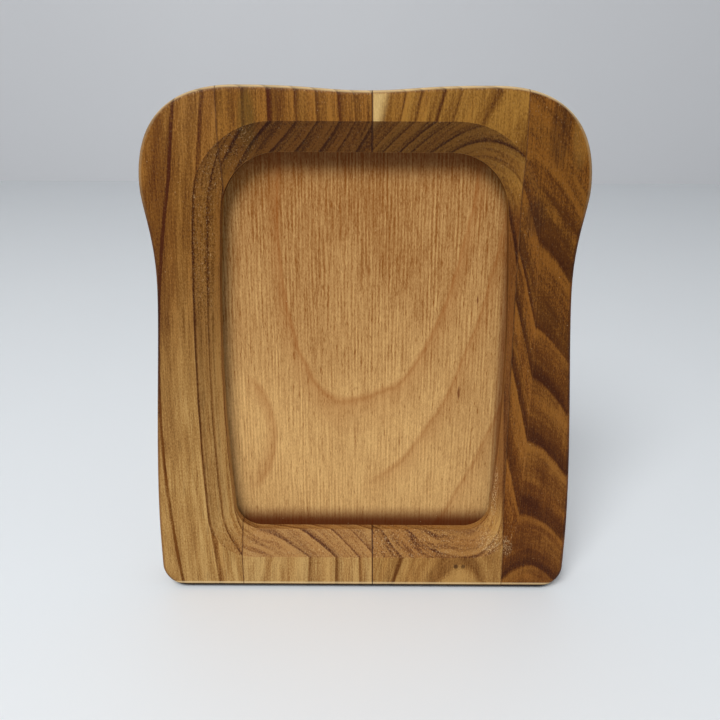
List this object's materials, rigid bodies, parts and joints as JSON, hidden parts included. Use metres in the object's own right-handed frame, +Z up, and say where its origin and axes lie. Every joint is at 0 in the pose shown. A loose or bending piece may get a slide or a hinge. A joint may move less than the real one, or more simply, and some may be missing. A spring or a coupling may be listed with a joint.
{
  "type": "picture frame",
  "caption": "Table-top wooden picture frame with a waisted outline, a bevelled round-cornered opening, a plywood back held by turn buttons and a folding easel leg.",
  "frame": {"origin": "middle of the frame's base, on the table, halfway through the board's thickness", "axes": "+X across the frame to the viewer's right, -Y out of its front towards the viewer, +Z up"},
  "size_m": [0.1876, 0.0534, 0.222],
  "materials": {
    "wood_pale": "oiled, satin",
    "wood_brown": "oiled, satin",
    "wood_golden": "oiled, satin",
    "wood_dark": "oiled, satin",
    "plywood": "sanded, bare",
    "leg_plywood": "sanded, bare",
    "brass": "stamped, slightly dulled",
    "steel": "zinc plated"
  },
  "bodies": {
    "frame": {"stave_left": "wood_pale", "stave_inner_left_top": "wood_brown", "stave_inner_left_bottom": "wood_golden", "stave_inner_right": "wood_golden", "stave_right": "wood_dark", "back_panel": "plywood", "turn_button_screw_upper_left": "steel", "turn_button_screw_upper_right": "steel", "turn_button_screw_lower_left": "steel", "turn_button_screw_lower_right": "steel", "hinge_panel_leaf": "brass", "hinge_pin": "steel", "panel_leaf_screw_left": "steel", "panel_leaf_screw_right": "steel"},
    "leg": {"easel_leg": "leg_plywood", "hinge_leg_leaf": "brass", "leg_leaf_screw_left": "steel", "leg_leaf_screw_right": "steel"},
    "button_upper_left": {"turn_button_upper_left": "brass"},
    "button_upper_right": {"turn_button_upper_right": "brass"},
    "button_lower_left": {"turn_button_lower_left": "brass"},
    "button_lower_right": {"turn_button_lower_right": "brass"}
  },
  "joints": [
    {"name": "leg_fold", "type": "hinge", "parent": "frame", "child": "leg", "pos_m": [0, 0.02418, 0.13865], "axis": [1, 0, 0], "range_deg": [-10, 0]},
    {"name": "button_turn_upper_left", "type": "hinge", "parent": "frame", "child": "button_upper_left", "pos_m": [-0.073, 0.02542, 0.16544], "axis": [0, 0.9962, -0.0872], "continuous": true},
    {"name": "button_turn_upper_right", "type": "hinge", "parent": "frame", "child": "button_upper_right", "pos_m": [0.073, 0.02542, 0.16544], "axis": [0, 0.9962, -0.0872], "continuous": true},
    {"name": "button_turn_lower_left", "type": "hinge", "parent": "frame", "child": "button_lower_left", "pos_m": [-0.073, 0.01583, 0.05586], "axis": [0, 0.9962, -0.0872], "continuous": true},
    {"name": "button_turn_lower_right", "type": "hinge", "parent": "frame", "child": "button_lower_right", "pos_m": [0.073, 0.01583, 0.05586], "axis": [0, 0.9962, -0.0872], "continuous": true}
  ]
}
